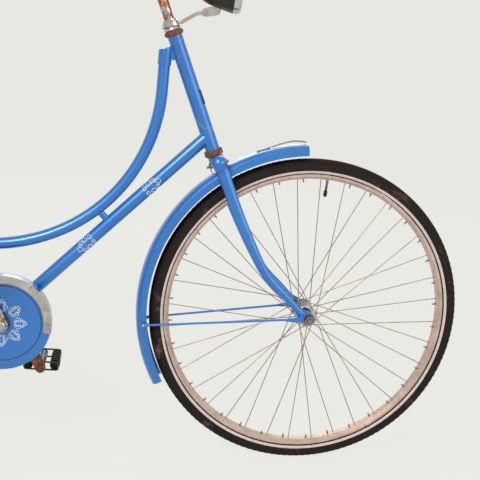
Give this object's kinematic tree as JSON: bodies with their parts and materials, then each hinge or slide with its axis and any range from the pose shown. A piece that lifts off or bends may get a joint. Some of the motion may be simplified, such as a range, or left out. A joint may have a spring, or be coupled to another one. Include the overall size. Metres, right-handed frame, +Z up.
{
  "type": "dutch step-through bicycle",
  "caption": "Step-through roadster bicycle with curved top tube, full chain case, deep mudguards, coat guards, carrier, lamp and rear-axle stand.",
  "frame": {"origin": "on the floor under the centre of the whole bicycle", "axes": "+X forward, +Y to the rider's left, +Z up"},
  "size_m": [1.9022, 0.6242, 1.1755],
  "materials": {
    "blue_paint": "gloss, scuffed",
    "black_paint": "gloss",
    "chrome": "worn, rust spotted",
    "steel": "dull",
    "tyre": "dusty",
    "rubber": "matte",
    "saddle_cover": "satin",
    "coat_sheet": "stiff vinyl",
    "lens": "ribbed",
    "tail_lens": "gloss"
  },
  "bodies": {
    "frame": {"head_tube": "blue_paint", "top_tube": "blue_paint", "upper_lug": "blue_paint", "down_tube": "blue_paint", "seat_tube": "blue_paint", "seat_lug": "blue_paint", "bottom_bracket": "blue_paint", "chain_stays": "blue_paint", "seat_stays": "blue_paint", "rear_dropouts": "blue_paint", "tube_brace": "blue_paint", "headset_cups": "chrome", "seat_post": "chrome", "saddle": "saddle_cover", "saddle_frame": "chrome", "rear_mudguard": "blue_paint", "rear_mudguard_stays": "blue_paint", "carrier_deck": "black_paint", "carrier_struts": "black_paint", "coat_guards": "coat_sheet", "rear_light": "tail_lens", "chain_case": "blue_paint", "chain_case_rim": "chrome", "rear_axle": "chrome", "brake_arm": "chrome"},
    "steering": {"fork_crown": "blue_paint", "fork_blade_left": "blue_paint", "fork_blade_right": "blue_paint", "front_dropouts": "blue_paint", "front_axle": "chrome", "guard_bolt": "chrome", "headset_locknut": "chrome", "stem": "chrome", "handlebar": "chrome", "grips": "rubber", "bell": "chrome", "lamp_bracket": "chrome", "lamp_shell": "black_paint", "lamp_rim": "chrome", "lamp_lens": "lens", "front_mudguard": "blue_paint", "front_mudguard_stays": "blue_paint", "mudguard_tip": "chrome"},
    "front_wheel": {"front_tyre": "tyre", "front_rim": "steel", "front_spokes": "steel", "front_hub": "chrome"},
    "rear_wheel": {"rear_tyre": "tyre", "rear_rim": "steel", "rear_spokes": "steel", "rear_hub": "chrome"},
    "crank": {"crank_axle": "chrome", "crank_left": "chrome", "crank_right": "chrome"},
    "pedal_left": {"pedal_left": "rubber"},
    "pedal_right": {"pedal_right": "rubber"},
    "stand": {"stand_leg_left": "black_paint", "stand_leg_right": "black_paint", "stand_foot_bar": "black_paint"}
  },
  "joints": [
    {"name": "steering_turn", "type": "hinge", "parent": "frame", "child": "steering", "pos_m": [0.36223, 0, 0.71879], "axis": [-0.3669, 0, 0.9302], "range_deg": [-70, 70]},
    {"name": "front_wheel_spin", "type": "hinge", "parent": "steering", "child": "front_wheel", "pos_m": [0.59365, 0, 0.3575], "axis": [0, 1, 0], "continuous": true},
    {"name": "rear_wheel_spin", "type": "hinge", "parent": "frame", "child": "rear_wheel", "pos_m": [-0.56427, 0, 0.4075], "axis": [0, 1, 0], "continuous": true},
    {"name": "crank_spin", "type": "hinge", "parent": "frame", "child": "crank", "pos_m": [-0.07939, 0, 0.33652], "axis": [0, 1, 0], "continuous": true},
    {"name": "pedal_left_spin", "type": "hinge", "parent": "crank", "child": "pedal_left", "pos_m": [-0.00881, 0.0865, 0.18186], "axis": [0, 1, 0], "continuous": true},
    {"name": "pedal_right_spin", "type": "hinge", "parent": "crank", "child": "pedal_right", "pos_m": [-0.14996, -0.0865, 0.49117], "axis": [0, 1, 0], "continuous": true},
    {"name": "stand_swing", "type": "hinge", "parent": "frame", "child": "stand", "pos_m": [-0.56427, 0, 0.4075], "axis": [0, 1, 0], "range_deg": [0, 100]}
  ]
}
